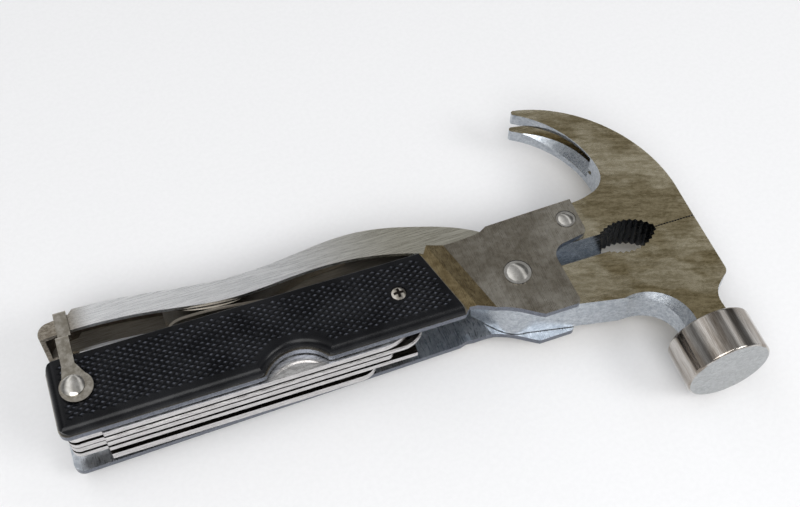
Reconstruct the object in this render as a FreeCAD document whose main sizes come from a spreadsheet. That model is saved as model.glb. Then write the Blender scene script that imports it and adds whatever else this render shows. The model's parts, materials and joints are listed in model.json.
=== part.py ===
import FreeCAD, Part
import math
import os
import Sketcher

# A pocket multi-tool: a hammer and a nail claw that close like pliers, with six folding
# tools in one handle. It lies on its side. Sub-parts are drawn about the main pivot, with
# +X towards the head, +Y towards the claw and z = 0 at mid-thickness, and each body's
# Placement moves them so that the origin is under the middle of the whole tool.

SIZES = {
    "shift_x": 33.2625, "shift_y": -5.7063, "shift_z": 14.43,
    "fit": 0.05,                    # radial clearance of a pin in its hole
    "jaw_half": 5.5,                # half the thickness of jaws and lever
    "core_half": 4.2,               # half the thickness between the lever's flanges
    "lap_gap": 0.05,                # from z = 0 to either half of the lap joint
    "lap_radius": 9.4, "lap_room": 9.7,
    "pivot_radius": 2.6, "pivot_ring": 3.5, "pivot_rise": 0.7,
    "jaw_rivet_x": 18.3, "jaw_rivet_y": 11.2,
    "jaw_rivet_radius": 1.8, "jaw_rivet_ring": 2.5, "jaw_rivet_rise": 0.6,
    "sheet": 1.7,                   # thickness of the side plates
    "plate_outer": 7.5,             # outer face of a side plate at the head
    "liner_outer": 9.4,             # outer face of a side plate along the handle
    "scale": 2.6,                   # thickness of the black scales
    "border": 2.2, "border_low": 0.4,  # radius of their rounded border, and the edge's height below it
    "pin_x": -112.3, "pin_y": 2.0, "pin_radius": 1.8,
    "hammer_x": 40.95, "hammer_radius": 11.1, "hammer_back": 28.4, "hammer_face": 40.3,
    "hammer_edge": 0.7,
    "web": 1.2,                     # sheet of the lever
    "lever_rivet_radius": 1.6,
    "cross_pin_radius": 1.25, "cross_pin_y": 9.3,
    "spring_low": 7.5, "spring_high": 11.1,
    "leaf": 0.8, "leaf_half": 4.0,
    "leaf_rivet_radius": 1.2, "leaf_rivet_head": 2.0, "leaf_rivet_cap": 0.5,
    "strap": 0.9, "strap_width": 3.2, "eyelet_low": 12.5,
    "eyelet_x": 0.7, "eyelet_y": -0.5, "eyelet_radius": 4.05,   # middle of the eyelet, from the pin
    "eyelet_ridge": 3.2,            # boss on each scale under the eyelet
    "screw_head": 2.8, "screw_rise": 0.95, "screw_core": 1.0,
    "scale_screw_x": -31.6, "scale_screw_y": 1.6, "scale_screw_head": 1.9, "scale_screw_seat": 0.9,
    "washer_radius": 4.5, "washer_gap": 0.04,
    "rivet_recess": 0.4,            # depth of the seats for the large rivets' heads
    "rivet_seat_room": 0.3,         # and their clearance around a head
    "scale_end_round": 0.5,         # rounding of a scale's back edge
    "nick_depth": 0.5,
    "knife_bevel": 0.3,
    "through": 70,                  # long enough to cut through everything
}

# Folded tools from the top liner down: (name, low face, high face).
TOOLS = [
    ("saw_blade", 5.3, 7.2),
    ("knife_blade", 2.4, 4.0),
    ("wood_file", 0.3, 2.1),
    ("flat_driver", -2.3, -0.7),
    ("phillips_driver", -4.1, -2.6),
    ("bottle_opener", -6.7, -4.4),
]
CROSS_PINS = {"rear": -75.0, "middle": -45.0, "block": -30.5}   # x of the pins in the handle's back

doc = FreeCAD.newDocument("hammer_multi_tool")
sheet = doc.addObject("Spreadsheet::Sheet", "Sizes")


def fill_sheet():
    """One row for each size, with tool and pin sizes after the general ones."""
    rows = dict(SIZES)
    for tool, low, high in TOOLS:
        rows[tool + "_low"] = low
        rows[tool + "_high"] = high
    for name, place in CROSS_PINS.items():
        rows[name + "_pin_x"] = place
    for row, (alias, value) in enumerate(rows.items(), start=1):
        sheet.set(f"A{row}", alias)
        sheet.set(f"B{row}", str(value))
        sheet.setAlias(f"B{row}", alias)
    doc.recompute()


def size(alias):
    """A cell's value, for outlines that are worked out here."""
    return float(sheet.get(alias))


def cell(alias):
    """A cell as it is named in an expression."""
    return "Sizes." + alias


# ---- bodies, sketches and features -------------------------------------------------------

def new_body(label, x="0", y="0"):
    """A body whose own origin is at (x, y, 0) from the main pivot."""
    body = doc.addObject("PartDesign::Body", label)
    body.Label = label
    body.setExpression("Placement.Base.x", f"{cell('shift_x')} + {x}")
    body.setExpression("Placement.Base.y", f"{cell('shift_y')} + {y}")
    body.setExpression("Placement.Base.z", cell("shift_z"))
    return body


def new_sketch(body, role="XY_Plane", x="0", y="0", z="0", turn=None):
    """A sketch on one of the body's own planes; x, y and z are its offset in that plane's axes."""
    sketch = body.newObject("Sketcher::SketchObject", "Sketch")
    plane = [item for item in body.Origin.OriginFeatures if item.Role == role][0]
    sketch.AttachmentSupport = [(plane, "")]
    sketch.MapMode = "FlatFace"
    if turn:
        sketch.AttachmentOffset = FreeCAD.Placement(FreeCAD.Vector(), turn)
    sketch.setExpression("AttachmentOffset.Base.x", x)
    sketch.setExpression("AttachmentOffset.Base.y", y)
    sketch.setExpression("AttachmentOffset.Base.z", z)
    return sketch


def flat(x, y):
    return FreeCAD.Vector(x, y, 0)


def draw(sketch, start, *moves):
    """A closed outline. Each move is a list of points: one is a line, two an arc, more a curve."""
    here = start
    for move in moves:
        points = [flat(*here)] + [flat(*point) for point in move]
        if len(move) == 1:
            edge = Part.LineSegment(points[0], points[1])
        elif len(move) == 2:
            edge = Part.Arc(*points)
        else:
            edge = Part.BSplineCurve()
            edge.interpolate(points)
        sketch.addGeometry(edge, False)
        here = move[-1]
    if math.dist(here, start) > 1e-6:
        sketch.addGeometry(Part.LineSegment(flat(*here), flat(*start)), False)


def draw_circle(sketch, radius):
    """A circle on the sketch's origin, with its radius bound to an expression."""
    circle = sketch.addGeometry(Part.Circle(flat(0, 0), FreeCAD.Vector(0, 0, 1), 1.0), False)
    sketch.addConstraint(Sketcher.Constraint("Coincident", circle, 3, -1, 1))
    rule = sketch.addConstraint(Sketcher.Constraint("Radius", circle, 1.0))
    sketch.setExpression(f"Constraints[{rule}]", radius)


def pad(body, sketch, length, both_ways=False, along=None):
    feature = body.newObject("PartDesign::Pad", "Pad")
    feature.Profile = sketch
    feature.setExpression("Length", length)
    if both_ways:
        feature.SideType = "Symmetric"
    if along:
        feature.UseCustomVector = True
        feature.Direction = along
    return feature


def pocket(body, sketch, length=cell("through"), both_ways=False, upwards=True, along=None):
    """Cuts away the sketch; a pocket goes against the sketch's normal unless it is reversed."""
    feature = body.newObject("PartDesign::Pocket", "Pocket")
    feature.Profile = sketch
    feature.setExpression("Length", length)
    if both_ways:
        feature.SideType = "Symmetric"
    feature.Reversed = upwards and not both_ways
    if along:
        feature.UseCustomVector = True
        feature.Direction = along
    return feature


def groove(body, sketch, angle=360):
    """Cuts away the sketch turned about its own vertical axis, half of the angle to each side."""
    feature = body.newObject("PartDesign::Groove", "Groove")
    feature.Profile = sketch
    feature.ReferenceAxis = (sketch, ["V_Axis"])
    feature.Midplane = angle < 360
    feature.Angle = angle
    return feature


def slab(body, low, high, start, *moves):
    """A plate with this outline between two heights."""
    sketch = new_sketch(body, z=low)
    draw(sketch, start, *moves)
    return pad(body, sketch, f"({high}) - ({low})")


def disc(body, x, y, radius, low, high):
    sketch = new_sketch(body, x=x, y=y, z=low)
    draw_circle(sketch, radius)
    return pad(body, sketch, f"({high}) - ({low})")


def hole(body, x, y, radius):
    """A round hole through everything along Z."""
    sketch = new_sketch(body, x=x, y=y)
    draw_circle(sketch, radius)
    return pocket(body, sketch, both_ways=True)


def turned(body, profile):
    """A body of revolution about Z; the profile is (radius, z) points as in draw."""
    sketch = new_sketch(body, role="XZ_Plane")
    draw(sketch, *profile)
    feature = body.newObject("PartDesign::Revolution", "Revolution")
    feature.Profile = sketch
    feature.ReferenceAxis = (sketch, ["V_Axis"])
    feature.Angle = 360
    return feature


def dome(radius, low, rise):
    """A spherical cap from its rim to the axis, as one arc move for a turned profile."""
    sphere = (radius ** 2 + rise ** 2) / (2 * rise)
    middle = radius / 2
    return [(middle, low + rise - sphere + math.sqrt(sphere ** 2 - middle ** 2)), (0, low + rise)]


def mirror_down(body, originals):
    """Repeats features below the mid-plane."""
    feature = body.newObject("PartDesign::Mirrored", "Mirrored")
    feature.Originals = originals
    plane = [item for item in body.Origin.OriginFeatures if item.Role == "XY_Plane"][0]
    feature.MirrorPlane = (plane, [""])
    body.Tip = feature
    return feature


def edges_where(body, test):
    """Names of the body's edges whose every sample point passes the test."""
    doc.recompute()
    shape = body.Tip.Shape
    names = []
    for number, edge in enumerate(shape.Edges, start=1):
        points = edge.discretize(5)
        if all(test(point) for point in points):
            names.append(f"Edge{number}")
    return names


def dress(body, kind, test, amount):
    """A fillet or a chamfer on the edges that pass the test."""
    names = edges_where(body, test)
    if not names:
        raise RuntimeError(f"{body.Label}: no edge to dress")
    base = body.Tip
    feature = body.newObject("PartDesign::" + kind, kind)
    feature.Base = (base, names)
    feature.setExpression("Radius" if kind == "Fillet" else "Size", amount)
    doc.recompute()
    return feature


# ---- outlines ----------------------------------------------------------------------------

def teeth(x_first, x_last, y, pitch, depth):
    """Zigzag points along a straight jaw edge."""
    count = round(abs(x_last - x_first) / pitch)
    step = (x_last - x_first) / count
    points = []
    for tooth in range(count):
        points.append([(x_first + (tooth + 0.5) * step, y + depth)])
        points.append([(x_first + (tooth + 1) * step, y)])
    return points


def toothed_arc(first, top, last, count, depth):
    """Zigzag points along the arc through three points; depth is cut away from its centre."""
    arc = Part.Arc(flat(*first), flat(*top), flat(*last)).toShape()
    reach = arc.LastParameter - arc.FirstParameter
    points = []
    for number in range(1, 2 * count + 1):
        spot = arc.valueAt(arc.FirstParameter + reach * number / (2 * count))
        if number % 2:
            spot = spot + (spot - arc.Curve.Center).normalize() * depth
        points.append([(spot.x, spot.y)])
    return points


def lowered(points, drop):
    return [(x, y - drop) for x, y in points]


HOLE_LEFT = 25.7
HOLE_RIGHT = 40.3
GRIP_TOP = [(32.9, 6.9), (HOLE_LEFT, 4.8)]     # middle and end of the grip's arc in the claw jaw
GRIP_LOW = [(HOLE_LEFT, -0.3), (32.9, -2.2)]   # start and middle of the arc in the hammer jaw
JAW_END = 51.7
CLAW_EDGE = 2.55      # y of the parting line on the claw jaw
HAMMER_EDGE = 2.45    # and on the hammer jaw
GRIP_TEETH = 11
GRIP_TOOTH_DEPTH = 0.55
TOOTH_PITCH = 0.79
TOOTH_DEPTH = 0.2

CUTTER_START = 9.0
WEB_BACK = [(-92, 26.8), (-73.8, 24.5), (-62, 24.4), (-50, 25.8), (-38, 26.9), (-27, 25.6), (-19.4, 23.4),
            (-9.3, 19.5), (-4.3, 16.5)]


def cutter_bevels(body, blade_y, face_y):
    """Two sloping cuts that meet at mid-thickness and leave a wire cutter's edge."""
    half = size("jaw_half") + 0.01
    for side in (1, -1):
        sketch = new_sketch(body, role="YZ_Plane", z=str(CUTTER_START))
        draw(sketch, (blade_y, 0), [(face_y, side * half)], [(2 * blade_y - face_y, side * half)])
        pocket(body, sketch, str(HOLE_LEFT + 0.1 - CUTTER_START))


def claw_jaw():
    """Upper jaw: wire cutter, pipe grip and gripping teeth below, curved nail claw above."""
    body = new_body("claw_jaw")
    slab(body, "-" + cell("jaw_half"), cell("jaw_half"), (9.9, CLAW_EDGE),
         [(9.9, 6), (8.6, 11), (6.2, 16.2)],
         [(22, 16.8)],
         [(26, 17.2), (30.2, 18.5)],
         [(34, 22.8), (34.2, 28), (30.2, 39.6), (24, 47.2), (19.8, 50.3)],
         [(19.6, 51.2), (20.5, 51.7)],
         [(28, 49.4), (36, 44.5), (44, 36), (49.6, 25), (JAW_END, 12)],
         [(JAW_END, CLAW_EDGE)],
         *teeth(JAW_END, HOLE_RIGHT, CLAW_EDGE, TOOTH_PITCH, TOOTH_DEPTH),
         *toothed_arc((HOLE_RIGHT, CLAW_EDGE), *GRIP_TOP, GRIP_TEETH, GRIP_TOOTH_DEPTH),
         [(HOLE_LEFT, CLAW_EDGE)])
    cutter_bevels(body, CLAW_EDGE, CLAW_EDGE + 2.5)
    slab(body, cell("lap_gap"), cell("core_half"), (9.05, 2.55),
         [(11, 2.65)], [(11, 12)], [(7.6, 13)], [(3.41, 8.76)],
         [(-6.65, -6.65), (9.05, 2.55)])
    hole(body, "0", "0", f"{cell('pivot_radius')} + {cell('fit')}")
    hole(body, cell("jaw_rivet_x"), cell("jaw_rivet_y"), f"{cell('jaw_rivet_radius')} + {cell('fit')}")
    nail_slot(body)
    nail_groove(body)


def nail_groove(body):
    """A V along the claw's hollow edge that widens the slot's mouth and fades out at the tip."""
    first, last = 6, 90
    root = 24.9
    mouth = root - 2.4
    middle = FreeCAD.Rotation(FreeCAD.Vector(0, 1, 0), (first + last) / 2)
    sketch = new_sketch(body, role="XZ_Plane", x="11.6", z="-26.8", turn=middle)
    draw(sketch, (mouth - 4, 5.2), [(mouth, 5.2)], [(root, 0.8)], [(root, -0.8)], [(mouth, -3.3)],
         [(mouth - 4, -3.3)])
    groove(body, sketch, last - first)


def nail_slot(body):
    """A tapered slot that splits the claw in two, from its tip down to a rounded root."""
    slope = 40.0
    root_half = 0.75
    mouth_half = 1.75
    mouth = 31.0
    root = FreeCAD.Vector(33.6, 26.6, 0)
    up = FreeCAD.Rotation(FreeCAD.Vector(0, 0, 1), slope)
    across = up.multVec(FreeCAD.Vector(0, 1, 0))
    frame = FreeCAD.Rotation(across, FreeCAD.Vector(0, 0, 1), across.cross(FreeCAD.Vector(0, 0, 1)), "XYZ")
    sketch = body.newObject("Sketcher::SketchObject", "Sketch")
    plane = [item for item in body.Origin.OriginFeatures if item.Role == "XY_Plane"][0]
    sketch.AttachmentSupport = [(plane, "")]
    sketch.MapMode = "FlatFace"
    sketch.AttachmentOffset = FreeCAD.Placement(root, frame)
    draw(sketch, (root_half, root_half), [(mouth, mouth_half)], [(mouth, -mouth_half)],
         [(root_half, -root_half)], [(0, 0), (root_half, root_half)])
    pocket(body, sketch, both_ways=True)


def hammer_jaw():
    """Lower jaw: it turns on the pivot, holds the hammer head and its tail sits in the lever."""
    body = new_body("hammer_jaw")
    slab(body, "-" + cell("jaw_half"), cell("jaw_half"), (8.26, HAMMER_EDGE),
         [(HOLE_LEFT, HAMMER_EDGE)], [GRIP_LOW[0]],
         *toothed_arc(*GRIP_LOW, (HOLE_RIGHT, HAMMER_EDGE), GRIP_TEETH, GRIP_TOOTH_DEPTH),
         *teeth(HOLE_RIGHT, JAW_END, HAMMER_EDGE, TOOTH_PITCH, -TOOTH_DEPTH),
         [(51.85, -14.6)],
         [(51.5, -16.2), (50.3, -17.3)], [(48.0, -19.2)], [(46.4, -21.4), (45.9, -24.2)],
         [(46.3, -29)], [(35.2, -29)], [(35.2, -26)],
         [(32.07, -18.43), (24.5, -15.3)],
         [(-0.6, -10.4)],
         [(-5.8, -8.6), (-9.6, -4.6), (-12.6, -1)],
         [(-12.2, 1.6)], [(-8.45, 1.6)],
         [(0, -8.6), (8.26, HAMMER_EDGE)])
    cutter_bevels(body, HAMMER_EDGE, HAMMER_EDGE - 3.2)
    neck_bevels(body)
    sketch = new_sketch(body, role="XZ_Plane", x=cell("hammer_x"), z=cell("hammer_back"))
    draw_circle(sketch, cell("hammer_radius"))
    pad(body, sketch, f"{cell('hammer_face')} - {cell('hammer_back')}")
    room = new_sketch(body, z="-" + cell("lap_gap"))
    draw_circle(room, cell("lap_room"))
    pocket(body, room)
    disc(body, "0", "0", cell("lap_radius"), "-" + cell("core_half"), "-" + cell("lap_gap"))
    slab(body, "-" + cell("core_half"), cell("core_half"), (-12.2, -1),
         [(-14, 4)], [(-21.5, 14.5)], [(-21, 19.5)], [(-11.5, 17)], [(-6.5, 13.3)], [(-5.6, 8.3)],
         [(-8.66, 5.0), (-9.9, 1.5)])
    hole(body, "0", "0", f"{cell('pivot_radius')} + {cell('fit')}")
    for x, y in LEVER_RIVETS:
        hole(body, str(x), str(y), f"{cell('lever_rivet_radius')} + {cell('fit')}")
    back = size("hammer_back")
    face = size("hammer_face")
    dress(body, "Fillet", lambda p: abs(p.y + back) < 0.01 and hammer_rim(p), cell("hammer_edge"))
    dress(body, "Fillet", lambda p: abs(p.y + face) < 0.01, cell("hammer_edge"))


def neck_bevels(body):
    """Conical cuts that thin both edges of the curve into the hammer's neck."""
    half = size("jaw_half")
    reach = 11.6
    inner = 8.8
    slope = 1.14
    for side in (1, -1):
        low = side * (half - (reach - inner) * slope)
        above = side * (half + 1)
        sketch = new_sketch(body, role="XZ_Plane", x="26", z="26.3")
        draw(sketch, (0, low), [(inner, low)], [(reach, side * half)], [(reach, above)], [(0, above)])
        groove(body, sketch)


def hammer_rim(point):
    """Is this point on the hammer cylinder's outer circle?"""
    return abs(math.hypot(point.x - size("hammer_x"), point.z) - size("hammer_radius")) < 0.01


LEVER_RIVETS = [(-10.2, 10.4), (-14.3, 12.4)]
LEVER_HEEL = (-118.3, 21.6)
LEAF_RIVET_X = -45.0
FLANGE_EDGE = [(-27.1, 17), (-43.3, 19.5), (-56, 19), (-65.7, 18.2), (-73.8, 18.3), (-88, 20.5),
               (-106.3, 22.2), LEVER_HEEL]


def handle_lever():
    """Moving handle: a pressed channel, open towards the tool handle, with a step for the latch."""
    body = new_body("handle_lever")
    half = cell("jaw_half")
    slab(body, "-" + half, half, LEVER_HEEL,
         [(-118.3, 24.2), (-116.2, 26.0)],
         [(-110.4, 26.9)], [(-109.2, 28.2)],
         WEB_BACK,
         [(4.5, 9.0)], [(6.91, 4.03)],
         [(3.0, -7.42), (-7.3, 3.27)],
         [(-12, 7.6)], [(-21, 15.05)],
         FLANGE_EDGE)
    web = size("web")
    inside = lowered(WEB_BACK[:-1], web)
    sketch = new_sketch(body, z="-" + cell("core_half") + " - 0.1")
    draw(sketch, (-117.1, 5), [(-117.1, 23.4)], [(-116.0, 24.75)], [(-110.0, 26.9 - web)],
         [(-108.8, 28.2 - web)],
         inside, [(-9.0, 30)], [(12, 30)], [(12, -12)], [(-12, -12)])
    pocket(body, sketch, f"2 * {cell('core_half')} + 0.2")
    hole(body, "0", "0", f"{cell('pivot_radius')} + {cell('fit')}")
    for x, y in LEVER_RIVETS:
        hole(body, str(x), str(y), f"{cell('lever_rivet_radius')} + {cell('fit')}")
    leaf_hole = new_sketch(body, role="XZ_Plane", x=str(LEAF_RIVET_X), z="-22")
    draw_circle(leaf_hole, f"{cell('leaf_rivet_radius')} + {cell('fit')}")
    pocket(body, leaf_hole, upwards=False)


def rivet(label, radius, ring, rise, x, y):
    """A rivet through both side plates with a low dome on each side."""
    body = new_body(label, x, y)
    brim_rise = 0.15
    seat = size("plate_outer") - size("rivet_recess")
    brim = size("plate_outer") + brim_rise
    shaft = size(radius)
    wide = size(ring)
    crown = wide * 0.78
    cap = dome(crown, brim, size(rise) - brim_rise)
    above = [[(shaft, seat)], [(wide, seat)], [(wide, brim)], [(crown, brim)], cap]
    below = [[(cap[0][0], -cap[0][1]), (crown, -brim)], [(wide, -brim)], [(wide, -seat)], [(shaft, -seat)]]
    turned(body, [(0, -cap[1][1]), *below, *above])


def lever_rivets():
    """Two flush rivets that hold the hammer jaw's tail between the lever's flanges."""
    body = new_body("lever_rivets")
    body.AllowCompound = True
    for x, y in LEVER_RIVETS:
        disc(body, str(x), str(y), cell("lever_rivet_radius"), "-" + cell("jaw_half"), cell("jaw_half"))


BOLSTER = [[(-15.7, -6.6)],
           [(-10.7, -7.4), (-5.7, -9.0), (-3.1, -10.4), (-0.6, -12.1), (1.9, -13.7)],
           [(10.2, -13.6)], [(11.5, -13.1), (11.8, -11.6)],
           [(11.3, 0)], [(12.2, 3.0), (15, 4.5)],
           [(20.3, 5.4)], [(21.6, 6.1), (22, 7.4)],
           [(22, 16.9)],
           [(10, 16.5), (-2.5, 16.0)],
           [(-4.8, 14.7)], [(-11, 14.1), (-19.5, 14.5)],
           [(-21.5, 11.6)]]
NOTCH = (-60.8, -13.3)      # middle of the thumb notch's arc
NOTCH_RADIUS = 9.25         # in the plate
NOTCH_WALL = 9.6            # and in the scale, a little behind it
NOTCH_SHOULDER = 0.7        # run of the rounding at each end of the notch
EDGE_LEFT = -115.6
EDGE_RIGHT = -17.5


def edge_height(x, low, high):
    """y of a handle's lower edge, a straight line between its heights at both ends."""
    return low + (high - low) * (x - EDGE_LEFT) / (EDGE_RIGHT - EDGE_LEFT)


def notch_moves(radius, low, high):
    """Moves along a lower edge, into the thumb notch with rounded shoulders and out again."""
    shoulder = 0.3
    reach = math.sqrt(radius ** 2 - (edge_height(NOTCH[0], low, high) + shoulder - NOTCH[1]) ** 2)
    moves = []
    for side in (-1, 1):
        near = NOTCH[0] + side * reach
        far = near + side * 2 * NOTCH_SHOULDER
        on_arc = (near, edge_height(near, low, high) + shoulder)
        between = (near + side * NOTCH_SHOULDER, edge_height(near, low, high) + 0.07)
        on_edge = (far, edge_height(far, low, high))
        if side < 0:
            moves += [[on_edge], [between, on_arc], [(NOTCH[0], NOTCH[1] + radius)]]
        else:
            moves[-1].append(on_arc)
            moves.append([between, on_edge])
    return moves


def side_plate(label, side, low, high, notch):
    """A sheet with a slanted joggle: wide apart along the handle, close against the jaws."""
    body = new_body(label)
    gauge = size("sheet")
    liner = size("liner_outer")
    head = size("plate_outer")
    profile = [(-125, liner), (-15.7, liner), (-11.0, head), (30, head), (30, head - gauge),
               (-11.35, head - gauge), (-16.05, liner - gauge), (-125, liner - gauge)]
    profile = [(x, side * z) for x, z in profile]
    sketch = new_sketch(body, role="XZ_Plane")
    draw(sketch, profile[0], *[[point] for point in profile[1:]])
    pad(body, sketch, cell("through"), both_ways=True, along=FreeCAD.Vector(0.27, -0.963, 0))
    outside = new_sketch(body)
    draw(outside, (-170, -80), [(90, -80)], [(90, 80)], [(-170, 80)])
    draw(outside, (-118.3, low + 2.5), [(-117.57, low + 0.73), (EDGE_LEFT, low)],
         *(notch_moves(NOTCH_RADIUS, low, high) if notch else []),
         [(EDGE_RIGHT, high)], *BOLSTER,
         [(-115.8, 11.4)], [(-117.57, 10.67), (-118.3, 8.9)])
    pocket(body, outside, both_ways=True)
    rivets = [("0", "0", "pivot_ring"), (cell("jaw_rivet_x"), cell("jaw_rivet_y"), "jaw_rivet_ring")]
    for x, y, ring in rivets:
        seat = new_sketch(body, x=x, y=y, z=f"{side} * ({cell('plate_outer')} - {cell('rivet_recess')})")
        draw_circle(seat, f"{cell(ring)} + {cell('rivet_seat_room')}")
        pocket(body, seat, upwards=side > 0)
    hole(body, "0", "0", f"{cell('pivot_radius')} + {cell('fit')}")
    hole(body, cell("jaw_rivet_x"), cell("jaw_rivet_y"), f"{cell('jaw_rivet_radius')} + {cell('fit')}")
    hole(body, cell("pin_x"), cell("pin_y"), f"{cell('pin_radius')} + {cell('fit')}")
    hole(body, cell("scale_screw_x"), cell("scale_screw_y"), f"{cell('screw_core')} + {cell('fit')}")
    for name in CROSS_PINS:
        hole(body, cell(name + "_pin_x"), cell("cross_pin_y"), f"{cell('cross_pin_radius')} + {cell('fit')}")


def round_over(sketch, edge, side):
    """Outline of what a rounded border loses, seen along it: from its edge to the scale's face."""
    radius = size("border")
    low = size("liner_outer") + size("border_low")
    across = radius * (1 - math.sqrt(0.5))
    face = low + radius
    above = face + 1
    draw(sketch, (edge, side * low),
         [(edge + across, side * (face - across)), (edge + radius, side * face)],
         [(edge + radius, side * above)], [(edge - 1.5, side * above)], [(edge - 1.5, side * low)])


def scale(label, side, low, high, notch):
    """A moulded scale with a rounded lower border that also runs around the thumb notch."""
    body = new_body(label)
    near = cell("liner_outer") if side > 0 else f"-{cell('liner_outer')} - {cell('scale')}"
    slab(body, near, f"{near} + {cell('scale')}", (-118.1, low + 2.6),
         [(-117.34, low + 0.76), (EDGE_LEFT, low)],
         *(notch_moves(NOTCH_WALL, low, high) if notch else []),
         [(EDGE_RIGHT, high)],
         [(-22.9, 11.2)],
         [(-115.5, 11.2)], [(-117.34, 10.44), (-118.1, 8.6)])
    face = side * (size("liner_outer") + size("scale"))
    dress(body, "Fillet", lambda p: abs(p.z - face) < 0.01 and p.y > 11.19, cell("scale_end_round"))
    middle = (EDGE_LEFT + EDGE_RIGHT) / 2
    border = new_sketch(body, role="YZ_Plane", z=str(middle))
    round_over(border, edge_height(middle, low, high), side)
    pocket(body, border, f"3 * {cell('through')}", both_ways=True,
           along=FreeCAD.Vector(EDGE_RIGHT - EDGE_LEFT, high - low, 0))
    end = new_sketch(body, role="XZ_Plane")
    round_over(end, -118.1, side)
    pocket(body, end, both_ways=True)
    if notch:
        ring = new_sketch(body, role="XZ_Plane", x=str(NOTCH[0]), z=str(-NOTCH[1]))
        round_over(ring, NOTCH_WALL, side)
        groove(body, ring)
    hole(body, cell("scale_screw_x"), cell("scale_screw_y"), f"{cell('screw_core')} + {cell('fit')}")
    seat = new_sketch(body, x=cell("scale_screw_x"), y=cell("scale_screw_y"),
                      z=f"{face} - {side} * {cell('scale_screw_seat')}")
    draw_circle(seat, f"{cell('scale_screw_head')} + 0.1")
    pocket(body, seat, upwards=side > 0)
    ridge = cell("eyelet_low") + " - 0.1"
    root = f"{cell('liner_outer')} + {cell('scale')} - 0.2"
    ends = (root, ridge) if side > 0 else (f"-({ridge})", f"-({root})")
    disc(body, cell("pin_x"), cell("pin_y"), cell("eyelet_ridge"), *ends)
    hole(body, cell("pin_x"), cell("pin_y"), f"{cell('pin_radius')} + {cell('fit')}")


def scale_screws():
    """One short screw into each liner near the head end of the scales, with a cross recess."""
    body = new_body("scale_screws", cell("scale_screw_x"), cell("scale_screw_y"))
    body.AllowCompound = True
    seat = size("liner_outer") + size("scale") - size("scale_screw_seat")
    head = size("scale_screw_head")
    core = size("screw_core")
    low = size("liner_outer") - size("sheet") + 0.1
    brim = seat + 0.7
    screw = turned(body, [(0, low), [(core, low)], [(core, seat)], [(head, seat)], [(head, brim)],
                          dome(head, brim, 0.45)])
    cross = cross_recess(body, brim, 1.3, 0.36)
    mirror_down(body, [screw, cross])


def cross_recess(body, low, reach, half):
    """A plus-shaped recess cut upwards from a height."""
    sketch = new_sketch(body, z=str(low))
    corners = []
    for quarter in range(4):
        for x, y in ((reach, -half), (reach, half), (half, half)):
            corner = FreeCAD.Rotation(FreeCAD.Vector(0, 0, 1), 90 * quarter).multVec(flat(x, y))
            corners.append((corner.x, corner.y))
    draw(sketch, corners[0], *[[corner] for corner in corners[1:]])
    return pocket(body, sketch)


def end_pin():
    """Barrel on which the tools and the latch turn, threaded at both ends."""
    body = new_body("end_pin", cell("pin_x"), cell("pin_y"))
    reach = f"{cell('eyelet_low')} + {cell('strap')} + 0.05"
    disc(body, "0", "0", cell("pin_radius"), f"-({reach})", reach)
    for side in (1, -1):
        bore = new_sketch(body, z=f"{side} * ({reach} - 4.0)")
        draw_circle(bore, f"{cell('screw_core')} + {cell('fit')}")
        pocket(body, bore, upwards=side > 0)


def pin_screws():
    """Domed screws at both ends of the barrel; they keep the latch on."""
    body = new_body("pin_screws", cell("pin_x"), cell("pin_y"))
    body.AllowCompound = True
    seat = size("eyelet_low") + size("strap") + 0.08
    head = size("screw_head")
    core = size("screw_core")
    tip = seat - 3.6
    rim = 0.15
    screw = turned(body, [(0, tip), [(core, tip)], [(core, seat)], [(head, seat)],
                          [(head, seat + rim)], dome(head, seat + rim, size("screw_rise") - rim)])
    mirror_down(body, [screw])


def latch_bail():
    """A bent strap with an eyelet on each side of the handle; its bar catches the lever's step."""
    body = new_body("latch_bail", cell("pin_x"), cell("pin_y"))
    strap = size("strap")
    high = size("eyelet_low")
    low = size("jaw_half") + 0.2
    bar = 25.15
    step_start = 12.9
    step_end = 17.2
    outer = [(0, high + strap), [(step_start + 0.4, high + strap)],
             [(step_start + 1.1, high + 0.65), (step_start + 1.45, high)],
             [(step_end + 0.5, low + strap + 0.8)],
             [(step_end + 0.8, low + strap + 0.15), (step_end + 1.5, low + strap)],
             [(bar - 0.1, low + strap)], [(bar + strap * 0.71, low + strap * 0.6), (bar + strap, low - 0.3)]]
    inner = [[(bar, low - 0.3)], [(bar - 0.1, low - 0.1), (bar - 0.3, low)], [(step_end + 1.0, low)],
             [(step_end + 0.1, low + 0.2), (step_end - 0.3, low + 0.9)], [(step_start + 0.5, high - 0.3)],
             [(step_start + 0.35, high - 0.1), (step_start, high)], [(0, high)]]
    sketch = new_sketch(body, role="YZ_Plane")
    draw(sketch, *mirror_path(outer, inner))
    pad(body, sketch, cell("strap_width"), both_ways=True)
    neck = size("strap_width") / 2
    flare = 2.9
    flare_y = 2.2
    middle = size("eyelet_x")
    near = cell("eyelet_low")
    far = f"{cell('eyelet_low')} + {cell('strap')}"
    for ends in ((near, far), (f"-({far})", f"-{near}")):
        disc(body, cell("eyelet_x"), cell("eyelet_y"), cell("eyelet_radius"), *ends)
        slab(body, *ends, (-neck, 5.9), [(middle - flare, flare_y)], [(middle + flare, flare_y)],
             [(neck, 5.9)])
    hole(body, "0", "0", f"{cell('pin_radius')} + {cell('fit')}")


def flipped(start, moves):
    """Moves that run the other way along a path, below the mid-plane."""
    points = [[start]] + moves
    back = []
    for number in range(len(points) - 1, 0, -1):
        middle = points[number][:-1]
        last = points[number - 1][-1]
        back.append([(y, -z) for y, z in reversed(middle)] + [(last[0], -last[1])])
    return back


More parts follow.
